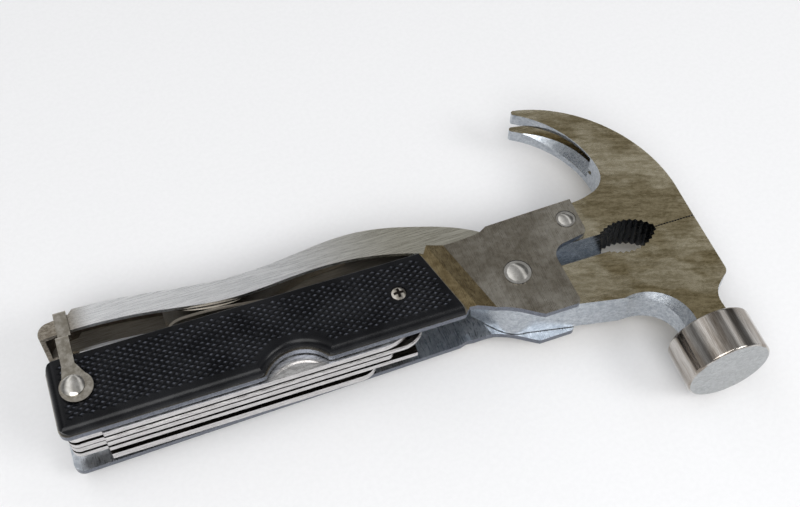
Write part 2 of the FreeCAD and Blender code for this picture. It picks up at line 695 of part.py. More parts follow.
def mirror_path(outer, inner):
    """The strap's closed outline: down the outside, then back along the inside, both mirrored."""
    start = outer[0]
    moves = outer[1:]
    inner_start = inner[0][0]
    outer_end = moves[-1][-1]
    path = [start] + moves + [[(outer_end[0], -outer_end[1])]] + flipped(start, moves)
    inner_end = inner[-1][0]
    path += [[(inner_end[0], -inner_end[1])]] + flipped(inner_start, inner[1:])
    path += [[inner_start]] + inner[1:]
    return path


def leaf(label, start, points, rivets):
    """A leaf spring: a strip, straight where it is riveted, then a gentle curve to its tip."""
    body = new_body(label)
    gauge = size("leaf")
    above = [(x, y + gauge) for x, y in points]
    wide = cell("leaf_half")
    slab(body, "-" + wide, wide, start, [points[0]], points[1:], [above[-1]], above[-2::-1],
         [(start[0], start[1] + gauge)])
    for x in rivets:
        sketch = new_sketch(body, role="XZ_Plane", x=str(x), z="-30")
        draw_circle(sketch, f"{cell('leaf_rivet_radius')} + {cell('fit')}")
        pocket(body, sketch)


HANDLE_LEAF = [(-38.5, 11.45), (-48, 12.5), (-59.4, 14.7), (-69.6, 16.2), (-77.0, 16.9), (-82.4, 17.0),
               (-85.6, 16.6), (-87.4, 15.5)]
LEVER_LEAF = [(-50, 23.1), (-58, 20.6), (-65, 18.6), (-72, 17.6), (-79, 18.3), (-88, 21.6)]
BLOCK_RIVETS = [-27.0, -34.5]


def short_rivets(label, spots, low, high):
    """Small rivets along Y: shanks at these x between two heights, with their heads on top."""
    body = new_body(label)
    body.AllowCompound = True
    for x in spots:
        shank = new_sketch(body, role="XZ_Plane", x=str(x), z=str(-high))
        draw_circle(shank, cell("leaf_rivet_radius"))
        pad(body, shank, f"{high - low}")
        cap = new_sketch(body, role="XZ_Plane", x=str(x), z=f"-{high} - {cell('leaf_rivet_cap')}")
        draw_circle(cap, cell("leaf_rivet_head"))
        pad(body, cap, cell("leaf_rivet_cap"))


def anchor_block():
    """Spacer between the liners that carries the handle's leaf spring."""
    body = new_body("spring_anchor")
    inner = f"{cell('liner_outer')} - {cell('sheet')} - 0.05"
    slab(body, f"-({inner})", inner, (-37.5, 7.5), [(-37.5, 11.4)], [(-23, 11.4)], [(-23, 7.5)])
    hole(body, cell("block_pin_x"), cell("cross_pin_y"), f"{cell('cross_pin_radius')} + {cell('fit')}")
    for x in BLOCK_RIVETS:
        sketch = new_sketch(body, role="XZ_Plane", x=str(x), z="-12")
        draw_circle(sketch, f"{cell('leaf_rivet_radius')} + {cell('fit')}")
        pocket(body, sketch, "3.6")


def cross_pins():
    """Pins that hold the back springs and the anchor block between the liners."""
    body = new_body("cross_pins")
    body.AllowCompound = True
    reach = f"{cell('liner_outer')} - 0.02"
    for name in CROSS_PINS:
        disc(body, cell(name + "_pin_x"), cell("cross_pin_y"), cell("cross_pin_radius"),
             f"-({reach})", reach)


def back_spring(number, low, high):
    """A flat spring along the handle's back that presses on one tool's tang."""
    body = new_body(f"back_spring_{number}")
    edge = size("spring_low")
    back = size("spring_high")
    slab(body, low, high, (-100, edge + 0.9), [(-99.4, edge)], [(-39, edge)], [(-39, back)],
         [(-99.4, back)], [(-100, back - 0.7)])
    for name in ("rear", "middle"):
        hole(body, cell(name + "_pin_x"), cell("cross_pin_y"), f"{cell('cross_pin_radius')} + {cell('fit')}")


TANG_TOP = (-114.5, 6.6)
TANG = [[(-117.6, 4.4), (-117.9, 1.0)], [(-117.2, -6.2)], [(-116.2, -8.0), (-114.4, -8.4)],
        [(-109.0, -8.4)]]
SHORT_TANG = [[(-117.6, 4.4), (-117.9, 1.0)], [(-117.4, -3.0)], [(-116.5, -4.5), (-114.8, -5.0)],
              [(-109.6, -5.0)]]
SHOULDER = (-108.7, -9.1)
ROOT = (-98, 5.2)           # where a blade's inner edge meets the tang
DRIVER_Y = -3.9             # middle line of the cross-head driver


def folded_tool(name, tang, *blade):
    """A tool that turns on the end pin: a tang, then the blade's own outline."""
    body = new_body(name)
    slab(body, cell(name + "_low"), cell(name + "_high"), TANG_TOP, *tang, *blade)
    hole(body, cell("pin_x"), cell("pin_y"), f"{cell('pin_radius')} + {cell('fit')}")
    return body


def nail_nick(body):
    """A shallow crescent for a fingernail on the tool's upper face."""
    sketch = new_sketch(body, x="-61", y="-7.2", z=f"{cell(body.Label + '_high')} - {cell('nick_depth')}")
    draw(sketch, (-6.3, -1.1), [(0, 1.3), (6.3, -1.1)], [(0, 0.2), (-6.3, -1.1)])
    pocket(body, sketch)


def tools():
    saw_teeth = teeth(-33.4, -95.4, -1.2, 1.24, -0.8)
    saw = folded_tool("saw_blade", TANG, [SHOULDER], [(-40.4, -9.1)],
                      [(-34.7, -8.3), (-30.6, -5.7)], [(-33.4, -1.2)], *saw_teeth, [ROOT])
    nail_nick(saw)
    knife = folded_tool("knife_blade", TANG, [SHOULDER], [(-34.2, -9.1)],
                        [(-31.3, -8.6), (-28.3, -6.5)], [(-38, -1.4)], [(-58, 3.4), ROOT])
    for z in (size("knife_blade_low"), size("knife_blade_high")):
        dress(knife, "Chamfer", lambda p: abs(p.z - z) < 0.01 and p.y < -6.4 and p.x > -106,
              cell("knife_bevel"))
    nail_nick(folded_tool("wood_file", TANG, [SHOULDER], [(-38.6, -9.1)], [(-36.7, -8.6), (-36, -7.3)],
                          [(-36, -1.5)], [(-60, 4.6)], [ROOT]))
    folded_tool("flat_driver", TANG, [SHOULDER], [(-30.2, -9.1)], [(-30.2, -2.2)], [(-38, -1.2)],
                [(-60, 4.0)], [ROOT])
    driver = folded_tool("phillips_driver", SHORT_TANG, [(-33.4, -5.6)], [(-31.0, -4.4)], [(-31.0, -3.4)],
                         [(-33.4, -2.2)], [(-47, -2.2)], [(-50, -1.0)], [(-90, 3.6)], [ROOT])
    driver_tip_flutes(driver)
    nail_nick(folded_tool("bottle_opener", SHORT_TANG, [SHOULDER], [(-45.3, -9.1)],
                          [(-42.2, -8.4), (-40.3, -6.6)], [(-40.2, -3.6), (-42.2, -1.6)], [(-46.2, -2.2)],
                          [(-48.4, -4.4), (-51.8, -2.6)], [(-52.4, 3.4)], [ROOT]))


def driver_tip_flutes(body):
    """Four V flutes at the cross-head driver's tip."""
    flute_start = -42
    low = size(body.Label + "_low")
    high = size(body.Label + "_high")
    middle = (low + high) / 2
    half = (high - low) / 2
    for side in (1, -1):
        for edge in (1, -1):
            sketch = new_sketch(body, role="YZ_Plane", z=str(flute_start))
            far = DRIVER_Y + edge * 2.0
            draw(sketch, (DRIVER_Y + edge * 0.4, middle + side * half * 1.01),
                 [(far, middle + side * half * 0.35)], [(far, middle + side * half * 1.01)])
            pocket(body, sketch)


def tool_washers():
    """Thin rings on the end pin that keep the tools apart from each other and from the plates."""
    body = new_body("tool_washers")
    body.AllowCompound = True
    liner_face = f"({cell('liner_outer')} - {cell('sheet')})"
    above = [liner_face] + [cell(name + "_low") for name, low, high in TOOLS]
    below = [cell(name + "_high") for name, low, high in TOOLS] + ["-" + liner_face]
    for upper, lower in zip(above, below):
        disc(body, cell("pin_x"), cell("pin_y"), cell("washer_radius"),
             f"{lower} + {cell('washer_gap')}", f"{upper} - {cell('washer_gap')}")
    hole(body, cell("pin_x"), cell("pin_y"), f"{cell('pin_radius')} + {cell('fit')}")


# ---- the whole tool ----------------------------------------------------------------------

def build():
    fill_sheet()
    claw_jaw()
    hammer_jaw()
    handle_lever()
    rivet("pivot_rivet", "pivot_radius", "pivot_ring", "pivot_rise", "0", "0")
    rivet("jaw_rivet", "jaw_rivet_radius", "jaw_rivet_ring", "jaw_rivet_rise", cell("jaw_rivet_x"),
          cell("jaw_rivet_y"))
    lever_rivets()
    side_plate("top_side_plate", 1, -8.8, -8.4, notch=True)
    side_plate("bottom_side_plate", -1, -9.45, -7.15, notch=False)
    scale("top_scale", 1, -8.65, -8.28, notch=True)
    scale("bottom_scale", -1, -8.5, -6.2, notch=False)
    scale_screws()
    end_pin()
    pin_screws()
    latch_bail()
    leaf("handle_leaf_spring", (-23.5, 11.45), HANDLE_LEAF, BLOCK_RIVETS)
    leaf("lever_leaf_spring", (-38.5, 24.2), LEVER_LEAF, [LEAF_RIVET_X])
    short_rivets("anchor_rivets", BLOCK_RIVETS, 8.6, 12.3)
    short_rivets("lever_leaf_rivet", [LEAF_RIVET_X], 22.9, 26.8)
    anchor_block()
    cross_pins()
    for number, (name, low, high) in enumerate(TOOLS, start=1):
        back_spring(number, cell(name + "_low"), cell(name + "_high"))
    tools()
    tool_washers()
    doc.recompute()


def check_and_export():
    """Stops on any failed object or bad shape, then writes one STEP file for each body."""
    for item in doc.Objects:
        if {"Invalid", "Error"} & set(item.State):
            raise RuntimeError(f"{item.Name} ({item.Label}) failed: {item.State}")
    bodies = [item for item in doc.Objects if item.TypeId == "PartDesign::Body"]
    os.makedirs("parts", exist_ok=True)
    for body in bodies:
        if body.Shape.isNull() or not body.Shape.isValid():
            raise RuntimeError(f"{body.Label} has a bad shape")
        body.Shape.exportStep(f"parts/{body.Label}.step")
        box = body.Shape.BoundBox
        print(f"{body.Label:22s} solids {len(body.Shape.Solids)} volume {body.Shape.Volume:9.1f}  "
              f"x {box.XMin:7.2f} {box.XMax:7.2f}  y {box.YMin:7.2f} {box.YMax:7.2f}  "
              f"z {box.ZMin:6.2f} {box.ZMax:6.2f}")


build()
check_and_export()
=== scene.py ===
import json
import math

import bmesh
import bpy
from mathutils import Matrix, Vector


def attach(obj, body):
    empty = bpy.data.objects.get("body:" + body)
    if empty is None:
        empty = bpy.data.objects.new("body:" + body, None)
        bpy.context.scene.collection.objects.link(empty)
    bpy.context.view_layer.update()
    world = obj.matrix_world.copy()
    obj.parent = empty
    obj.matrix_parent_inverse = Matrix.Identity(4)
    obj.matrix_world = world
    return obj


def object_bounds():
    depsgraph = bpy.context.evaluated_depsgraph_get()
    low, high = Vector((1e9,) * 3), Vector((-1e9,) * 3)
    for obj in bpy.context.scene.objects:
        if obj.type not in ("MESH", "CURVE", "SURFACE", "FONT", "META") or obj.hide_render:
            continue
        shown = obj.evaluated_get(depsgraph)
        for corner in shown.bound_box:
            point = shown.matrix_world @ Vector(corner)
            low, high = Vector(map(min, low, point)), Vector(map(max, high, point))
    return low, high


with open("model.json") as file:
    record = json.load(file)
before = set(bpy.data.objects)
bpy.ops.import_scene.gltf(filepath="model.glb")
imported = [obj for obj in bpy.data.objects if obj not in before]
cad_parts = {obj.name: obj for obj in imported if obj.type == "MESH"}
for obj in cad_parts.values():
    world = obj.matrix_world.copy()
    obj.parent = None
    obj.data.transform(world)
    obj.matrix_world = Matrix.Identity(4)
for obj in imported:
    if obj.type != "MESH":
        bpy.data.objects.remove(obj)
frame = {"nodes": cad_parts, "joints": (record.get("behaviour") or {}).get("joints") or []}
cad_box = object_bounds()

MM = 0.001
NODES = frame["nodes"]
JOINTS = {joint["name"]: joint for joint in frame["joints"]}
PIVOT = Vector(JOINTS["lever_hinge"]["pos_m"])       # main pivot, at mid-thickness
PIN = Vector(JOINTS["latch_hinge"]["pos_m"])         # pin that the tools and the latch turn on


def spot(x, y, z=0.0):
    """A point in millimetres from the main pivot, as a place in the frame."""
    return PIVOT + Vector((x, y, z)) * MM


# ---- node graphs --------------------------------------------------------------------------

NOISE_RANGE = (0.3, 0.7)   # nearly all of a noise's values lie in here


class Graph:
    """A material's node tree, with short calls for the nodes that the finishes share."""

    def __init__(self, name):
        self.material = bpy.data.materials.new(name)
        self.material.use_nodes = True
        self.tree = self.material.node_tree
        self.shader = self.tree.nodes["Principled BSDF"]
        self.coords = self.tree.nodes.new("ShaderNodeTexCoord")

    def add(self, kind, **settings):
        node = self.tree.nodes.new(kind)
        for key, value in settings.items():
            setattr(node, key, value)
        return node

    def feed(self, socket, value):
        """Links an output socket, or stores a constant."""
        if isinstance(value, bpy.types.NodeSocket):
            self.tree.links.new(value, socket)
        else:
            socket.default_value = value

    def set(self, **values):
        """Sets or links the shader's own sockets; underscores stand for spaces."""
        for key, value in values.items():
            self.feed(self.shader.inputs[key.replace("_", " ")], value)

    def place(self, per_mm=(1, 1, 1), turn=0.0):
        """Object coordinates scaled to so many units per millimetre along each axis."""
        mapping = self.add("ShaderNodeMapping")
        mapping.inputs["Rotation"].default_value = (0, 0, turn)
        scale = self.add("ShaderNodeVectorMath", operation="MULTIPLY")
        self.feed(mapping.inputs["Vector"], self.coords.outputs["Object"])
        self.feed(scale.inputs[0], mapping.outputs[0])
        scale.inputs[1].default_value = [value / MM for value in per_mm]
        return scale.outputs[0]

    def noise(self, per_mm, detail=3.0, roughness=0.55, turn=0.0):
        """Noise with this many features per millimetre along each axis."""
        node = self.add("ShaderNodeTexNoise")
        self.feed(node.inputs["Vector"], self.place(per_mm, turn))
        node.inputs["Scale"].default_value = 1.0
        node.inputs["Detail"].default_value = detail
        node.inputs["Roughness"].default_value = roughness
        return node.outputs["Fac"]

    def spread(self, value, low, high, to_low=0.0, to_high=1.0, smooth=True):
        """Maps low..high to to_low..to_high, clamped."""
        node = self.add("ShaderNodeMapRange")
        node.interpolation_type = "SMOOTHSTEP" if smooth else "LINEAR"
        for key, item in (("Value", value), ("From Min", low), ("From Max", high), ("To Min", to_low),
                          ("To Max", to_high)):
            self.feed(node.inputs[key], item)
        return node.outputs["Result"]

    def stretch(self, noise, to_low=0.0, to_high=1.0):
        """Maps a noise's usual values to to_low..to_high."""
        return self.spread(noise, *NOISE_RANGE, to_low, to_high)

    def math(self, operation, first, second=0.0):
        node = self.add("ShaderNodeMath", operation=operation)
        self.feed(node.inputs[0], first)
        self.feed(node.inputs[1], second)
        return node.outputs[0]

    def mix(self, share, first, second):
        """A colour between two colours."""
        node = self.add("ShaderNodeMix", data_type="RGBA")
        sockets = [item for item in node.inputs if item.type == "RGBA"]
        self.feed(node.inputs["Factor"], share)
        for socket, value in zip(sockets, (first, second)):
            self.feed(socket, (*value, 1.0) if isinstance(value, tuple) else value)
        return [item for item in node.outputs if item.type == "RGBA"][0]

    def axis(self, vector, index):
        node = self.add("ShaderNodeSeparateXYZ")
        self.feed(node.inputs[0], vector)
        return node.outputs[index]

    def facing(self, index, low, high):
        """1 where the surface faces along an axis, either way."""
        part = self.axis(self.coords.outputs["Normal"], index)
        return self.spread(self.math("ABSOLUTE", part), low, high)

    def along(self, index):
        """Millimetres from the main pivot along an axis."""
        part = self.axis(self.coords.outputs["Object"], index)
        return self.math("DIVIDE", self.math("SUBTRACT", part, PIVOT[index]), MM)

    def within(self, value, low, high, edge=0.1):
        """1 between two limits and 0 outside, with edges this soft."""
        above = self.spread(value, low - edge, low + edge)
        below = self.spread(value, high - edge, high + edge, 1.0, 0.0)
        return self.math("MULTIPLY", above, below)

    def blend(self, share, first, second):
        """A number between two numbers."""
        node = self.add("ShaderNodeMix", data_type="FLOAT")
        self.feed(node.inputs["Factor"], share)
        self.feed(node.inputs[2], first)
        self.feed(node.inputs[3], second)
        return node.outputs[0]

    def bump(self, *layers):
        """Stacks bumps, each as (height output, depth in millimetres)."""
        normal = None
        for height, depth in layers:
            node = self.add("ShaderNodeBump")
            node.inputs["Strength"].default_value = 1.0
            node.inputs["Distance"].default_value = depth * MM
            self.feed(node.inputs["Height"], height)
            if normal:
                self.feed(node.inputs["Normal"], normal)
            normal = node.outputs[0]
        self.feed(self.shader.inputs["Normal"], normal)


def dress(mat, *names):
    """Gives a material to CAD nodes or to new pieces."""
    for name in names:
        piece = NODES[name] if isinstance(name, str) else name
        if not piece.material_slots:
            piece.data.materials.append(mat)
        for slot in piece.material_slots:
            slot.material = mat


# ---- finishes -----------------------------------------------------------------------------

# Limits of coloured zones, in millimetres from the main pivot.
NECK_RUN = (2.0, -26.0)         # y over which the hammer jaw darkens towards its neck: painted shade by the hammer's back
GRIP_HOLE_X = (25.6, 40.6)
GRIP_HOLE_Y = (-2.8, 7.7)
HAMMER_BACK = -28.4
OLIVE_RUN = (-62.0, -22.0)      # x over which the lever turns from a painted bright reflection to olive
HEEL_RUN = (-104.0, -112.0)     # and darkens towards its heel
CHANNEL_HALF = 4.35             # a little more than half the room between its flanges
CHANNEL_END = (-117.3, -117.15)
JOGGLE_RUN = (-18.5, -12.0)
SAW_FACE = (6.5, 6.65)          # heights between which the saw's upper flat begins


def jaw_steel():
    """Ground tool steel: warm, mottled flats with painted shade towards the neck, cool walls, painted
    shade in the grip hole, a scratched hammer with painted reflection bands along its side.
    """
    g = Graph("jaw_steel")
    x, y = g.along(0), g.along(1)
    flats = g.facing(2, 0.93, 0.99)
    broad = g.noise((0.06, 0.10, 0.08), 3.0, turn=0.5)
    mottle = g.noise((0.9, 1.1, 1.1), 6.0, 0.75)
    streaks = g.noise((0.12, 0.7, 0.7), 4.0, 0.7, turn=0.35)
    grind = g.noise((0.15, 6.0, 6.0), 3.0, 0.7)
    cross = g.noise((5.0, 0.25, 5.0), 3.0, 0.7)
    # Painted shade: the hammer jaw's flats darken towards the neck, by the hammer's back.
    neck_painted_shade = g.spread(y, *NECK_RUN)
    stirred = g.math("ADD", g.math("MULTIPLY", mottle, 0.45), g.math("MULTIPLY", streaks, 0.55))
    grain = g.spread(stirred, 0.38, 0.62)
    warm_light = g.mix(grain, (0.37, 0.32, 0.205), (0.61, 0.55, 0.41))
    warm_dark = g.mix(grain, (0.155, 0.122, 0.060), (0.33, 0.275, 0.165))
    # The painted neck shade and a random broad tone choose between the light and dark warm colours.
    shade = g.math("ADD", g.math("MULTIPLY", neck_painted_shade, 0.6), g.spread(broad, 0.42, 0.58, 0.0, 0.85))
    warm = g.mix(shade, warm_light, warm_dark)
    cool = g.mix(g.stretch(mottle), (0.30, 0.33, 0.37), (0.56, 0.59, 0.62))
    body = g.mix(flats, cool, warm)
    # Painted shade: the grip hole's walls are made near-black, where shade falls inside the hole.
    in_hole = g.math("MULTIPLY", g.within(x, *GRIP_HOLE_X), g.within(y, *GRIP_HOLE_Y))
    in_hole = g.math("MULTIPLY", in_hole, g.facing(2, 0.98, 0.9))
    body = g.mix(in_hole, body, (0.075, 0.080, 0.088))
    on_hammer = g.spread(y, HAMMER_BACK - 0.1, HAMMER_BACK + 0.1, 1.0, 0.0, smooth=False)
    face_on = g.facing(1, 0.90, 0.97)
    side = g.math("MULTIPLY", on_hammer, g.math("SUBTRACT", 1.0, face_on))
    struck = g.math("MULTIPLY", on_hammer, face_on)
    # Painted reflection: broad dark and light bands run along the hammer's side, standing in for reflected
    # bands; the fine cross noise adds scratches along the axis.
    painted_reflection_bands = g.noise((0.16, 0.02, 0.16), 2.0, 0.5)
    dark_side = g.mix(g.stretch(cross), (0.17, 0.14, 0.11), (0.36, 0.32, 0.28))
    light_side = g.mix(g.stretch(cross), (0.44, 0.41, 0.38), (0.62, 0.60, 0.57))
    scratches_and_painted_bands = g.mix(g.spread(painted_reflection_bands, 0.42, 0.58), dark_side, light_side)
    face = g.mix(g.stretch(mottle), (0.33, 0.34, 0.345), (0.47, 0.485, 0.49))
    g.set(Base_Color=g.mix(struck, g.mix(side, body, scratches_and_painted_bands), face), Metallic=1.0)
    rough = g.math("ADD", g.stretch(grind, 0.20, 0.34), g.stretch(broad, -0.04, 0.06))
    g.set(Roughness=g.blend(side, rough, g.stretch(cross, 0.06, 0.14)))
    still = g.math("SUBTRACT", 1.0, side)
    g.bump((g.math("MULTIPLY", grind, still), 0.006), (g.math("MULTIPLY", mottle, still), 0.016),
           (g.math("MULTIPLY", cross, side), 0.0012))
    return g.material


def lever_steel():
    """Pressed sheet, brushed along its length, with a painted bright reflection towards its left end;
    inside the channel it is dull, with painted shade, and painted light on the upward faces.
    """
    g = Graph("lever_steel")
    x = g.along(0)
    lines = g.noise((0.15, 6.0, 6.0), 4.0, 0.75)
    specks = g.noise((1.2, 1.6, 1.6), 5.0, 0.7)
    bright = g.mix(g.stretch(lines), (0.72, 0.73, 0.74), (0.95, 0.95, 0.95))
    olive = g.mix(g.stretch(lines), (0.38, 0.36, 0.29), (0.62, 0.60, 0.52))
    heel = g.mix(g.spread(specks, 0.35, 0.65), (0.20, 0.17, 0.13), (0.40, 0.36, 0.30))
    # Painted reflection: the lever is near white towards its left end and olive to the right.
    colour = g.mix(g.spread(x, *OLIVE_RUN), bright, olive)
    colour = g.mix(g.spread(x, *HEEL_RUN), colour, heel)
    inside = g.within(g.along(2), -CHANNEL_HALF, CHANNEL_HALF, 0.02)
    inner = g.spread(g.axis(g.coords.outputs["Normal"], 1), 0.5, 0.3)
    inside = g.math("MULTIPLY", g.math("MULTIPLY", inside, inner), g.spread(x, *CHANNEL_END))
    # Painted shade: the faces inside the channel are made near-black; the upward faces inside get a
    # lighter colour as painted light from above.
    channel_painted_shade_and_light = g.mix(g.stretch(specks), (0.030, 0.024, 0.019), (0.095, 0.078, 0.060))
    floor_side = g.spread(g.axis(g.coords.outputs["Normal"], 2), 0.6, 0.8)
    painted_lit_upward_face = g.mix(g.stretch(lines), (0.20, 0.18, 0.15), (0.42, 0.39, 0.34))
    channel_painted_shade_and_light = g.mix(floor_side, channel_painted_shade_and_light, painted_lit_upward_face)
    g.set(Base_Color=g.mix(inside, colour, channel_painted_shade_and_light), Metallic=1.0)
    g.set(Roughness=g.blend(inside, g.stretch(lines, 0.22, 0.38), 0.55))
    g.bump((lines, 0.006), (specks, 0.006))
    return g.material


def spring_steel():
    """Dark spring steel brushed along its length, with faint stains."""
    g = Graph("spring_steel")
    lines = g.noise((0.04, 3.0, 3.0), 4.0, 0.75)
    broad = g.noise((0.03, 0.06, 0.06), 3.0)
    stain = g.spread(broad, 0.35, 0.68)
    streak = g.stretch(lines)
    shade = g.math("MULTIPLY", g.math("ADD", stain, streak), 0.5)
    g.set(Base_Color=g.mix(shade, (0.12, 0.105, 0.085), (0.30, 0.275, 0.235)), Metallic=1.0)
    g.set(Roughness=g.stretch(lines, 0.26, 0.42))
    g.bump((lines, 0.006))
    return g.material


LEAN = 0.28                # lean of the joggle and of the scales' right ends, in x for each y


def plate_steel():
    """Side plates: mottled brown-grey satin, a painted golden sheen on the joggle's slope, blue-grey cut
    edges, and inner faces in pale blue-grey brightened as painted light.
    """
    g = Graph("plate_steel")
    part = g.math("ABSOLUTE", g.axis(g.coords.outputs["Normal"], 2))
    slope = g.math("MULTIPLY", g.spread(part, 0.985, 0.955), g.spread(part, 0.80, 0.86))
    walls = g.spread(part, 0.80, 0.70)
    mottle = g.noise((0.5, 0.55, 0.5), 7.0, 0.75)
    broad = g.noise((0.07, 0.09, 0.07), 3.0)
    lines = g.noise((3.5, 0.25, 3.5), 3.0, 0.7)
    shade = g.spread(mottle, 0.36, 0.64)
    dull = g.mix(shade, (0.190, 0.168, 0.132), (0.285, 0.26, 0.215))
    clean = g.mix(shade, (0.295, 0.27, 0.225), (0.42, 0.395, 0.345))
    flat = g.mix(g.spread(broad, 0.38, 0.62), dull, clean)
    # Painted sheen: the joggle's slope is coloured gold.
    painted_gold_sheen = g.mix(shade, (0.20, 0.15, 0.075), (0.36, 0.285, 0.16))
    leaning = g.math("ADD", g.along(0), g.math("MULTIPLY", g.along(1), LEAN))
    joggle = g.within(leaning, *JOGGLE_RUN)
    cut = g.mix(g.stretch(lines), (0.09, 0.10, 0.125), (0.21, 0.225, 0.26))
    # Painted light: the inner faces get a pale blue-grey, brighter than the outer flats, standing in for
    # light where the other plate shades them.
    inward = g.math("MULTIPLY", g.axis(g.coords.outputs["Normal"], 2), g.along(2))
    liner_tone_and_painted_light = g.mix(shade, (0.46, 0.50, 0.55), (0.70, 0.74, 0.79))
    outer = g.mix(g.math("MAXIMUM", slope, joggle), flat, painted_gold_sheen)
    g.set(Base_Color=g.mix(walls, g.mix(g.spread(inward, 0.5, -0.5), outer, liner_tone_and_painted_light), cut), Metallic=1.0)
    g.set(Roughness=g.stretch(lines, 0.24, 0.38))
    g.bump((lines, 0.004), (mottle, 0.006))
    return g.material


def tool_steel():
    """Ground tool backs and edges with fine marks along them; flats painted dark as shade, except the
    saw's upper one.
    """
    g = Graph("tool_steel")
    marks = g.noise((0.30, 1.2, 3.0), 4.0, 0.7)
    broad = g.noise((0.08, 0.1, 0.3), 2.0)
    flats = g.facing(2, 0.6, 0.9)
    edge = g.mix(g.stretch(marks), (0.47, 0.455, 0.45), (0.72, 0.705, 0.70))
    # Painted shade: the tools' flats are made near-black, standing in for the shade between the stacked
    # tools; the saw's upper flat keeps its ground colour.
    flat = g.mix(g.spread(broad, 0.35, 0.65), (0.045, 0.038, 0.032), (0.12, 0.105, 0.09))
    ground = g.mix(g.stretch(marks), (0.40, 0.39, 0.385), (0.78, 0.77, 0.76))
    flat = g.mix(g.spread(g.along(2), *SAW_FACE), flat, ground)
    g.set(Base_Color=g.mix(flats, edge, flat), Metallic=1.0)
    g.set(Roughness=g.stretch(marks, 0.22, 0.36))
    g.bump((marks, 0.004))
    return g.material


RECESS_BAND = 0.05         # how near a face's height is to a recess's floor, to count as part of it


def nickel(name, dark, light, recess=None):
    """Polished nickel plate with faint waviness and handling marks; a recess's floor is made near-black.
    """
    g = Graph(name)
    smear = g.noise((0.6, 0.6, 0.6), 4.0, 0.6)
    ripple = g.noise((0.25, 0.25, 0.25), 1.0)
    colour = g.mix(g.stretch(smear), dark, light)
    if recess:
        height = g.math("ABSOLUTE", g.along(2))
        at_floor = g.within(height, recess - RECESS_BAND, recess + RECESS_BAND, 0.01)
        floor_up = g.math("MULTIPLY", g.facing(2, 0.98, 0.995), at_floor)
        colour = g.mix(floor_up, colour, (0.03, 0.026, 0.022))
    g.set(Base_Color=colour, Metallic=1.0)
    g.set(Roughness=g.stretch(smear, 0.10, 0.20))
    g.bump((ripple, 0.03), (smear, 0.003))
    return g.material


SCALE_FACE = 12.0          # outer face of a scale from mid-thickness, in millimetres


def black_plastic(name, rough, grain, sheen, points=False):
    """Moulded black plastic with a low sheen; the checkering's points carry painted glints."""
    g = Graph(name)
    fine = g.noise((4.0, 4.0, 4.0), 3.0, 0.6)
    broad = g.noise((0.12, 0.12, 0.12), 2.0)
    g.set(Base_Color=g.mix(g.stretch(broad), (0.0028, 0.0030, 0.0038), (0.0060, 0.0064, 0.0078)))
    g.set(Roughness=g.stretch(fine, *rough), IOR=1.46)
    g.set(Specular_IOR_Level=g.stretch(broad, *sheen))
    if points:
        # Painted glints: the points' tips are made paler, as highlights.
        tip = g.spread(g.math("ABSOLUTE", g.along(2)), SCALE_FACE + TIP_RISE[0], SCALE_FACE + TIP_RISE[1])
        glint = g.math("MULTIPLY", tip, g.spread(g.noise((1.6, 2.4, 1.6), 1.0), 0.35, 0.65, 0.1, 1.0))
        colour = g.shader.inputs["Base Color"].links[0].from_socket
        g.set(Base_Color=g.mix(glint, colour, (0.075, 0.080, 0.097)))
    g.bump((fine, grain))
    return g.material


# ---- checkering on the scales -------------------------------------------------------------

CHECK_X = 1.285            # half a pyramid's long diagonal, along the handle
CHECK_Y = 0.77             # half its short diagonal
CHECK_HIGH = 0.45
TIP_RISE = (0.20, 0.44)    # heights on a point where its painted glint begins and is whole
CHECK_TOP = 0.16           # size of the flat on each point, as a share of its foot
NOTCH = (-60.8, -13.3)     # centre of the thumb notch's arc
NOTCH_CLEAR = 12.5
FIELD_LEFT = -115.3
FIELD_HIGH = 10.0
TOP_FIELD_LOW = -5.9
BOTTOM_FIELD_LOW = -3.6
SCALE_CORNER = (-17.5, -8.3)   # lower right corner of a scale
END_BORDER = 1.2           # smooth margin at a scale's right end
POINT_RINGS = ((0.97, -0.05), (0.96, 0.0), (CHECK_TOP, CHECK_HIGH))   # share of the foot, and height
PIN_PLACE = tuple((PIN - PIVOT).xy / MM)
PIN_CLEAR = 3.9
SCREW_PLACE = (-31.6, 1.6)
SCREW_CLEAR = 2.9
SCREW_RECESS = 11.8        # floor of the scale screws' cross, from mid-thickness


def on_field(x, y, low, notch):
    """Is there checkering here? The border, notch, end pin and screw stay smooth."""
    right = SCALE_CORNER[0] - (y - SCALE_CORNER[1]) * LEAN - END_BORDER
    if not (FIELD_LEFT < x < right and low < y < FIELD_HIGH):
        return False
    if notch and math.dist((x, y), NOTCH) < NOTCH_CLEAR:
        return False
    return math.dist((x, y), PIN_PLACE) > PIN_CLEAR and math.dist((x, y), SCREW_PLACE) > SCREW_CLEAR


def pyramid(mesh, centre, side):
    """One truncated diamond point, closed underneath."""
    rings = []
    for share, rise in POINT_RINGS:
        ring = []
        for quarter in range(4):
            angle = math.pi / 2 * quarter
            offset = Vector((math.cos(angle) * CHECK_X * share, math.sin(angle) * CHECK_Y * share,
                             side * rise))
            ring.append(mesh.verts.new(centre + offset * MM))
        rings.append(ring)
    order = 1 if side > 0 else -1
    mesh.faces.new(rings[0][::-order])
    mesh.faces.new(rings[2][::order])
    for low, high in zip(rings, rings[1:]):
        for number in range(4):
            after = (number + 1) % 4
            mesh.faces.new([low[number], low[after], high[after], high[number]][::order])


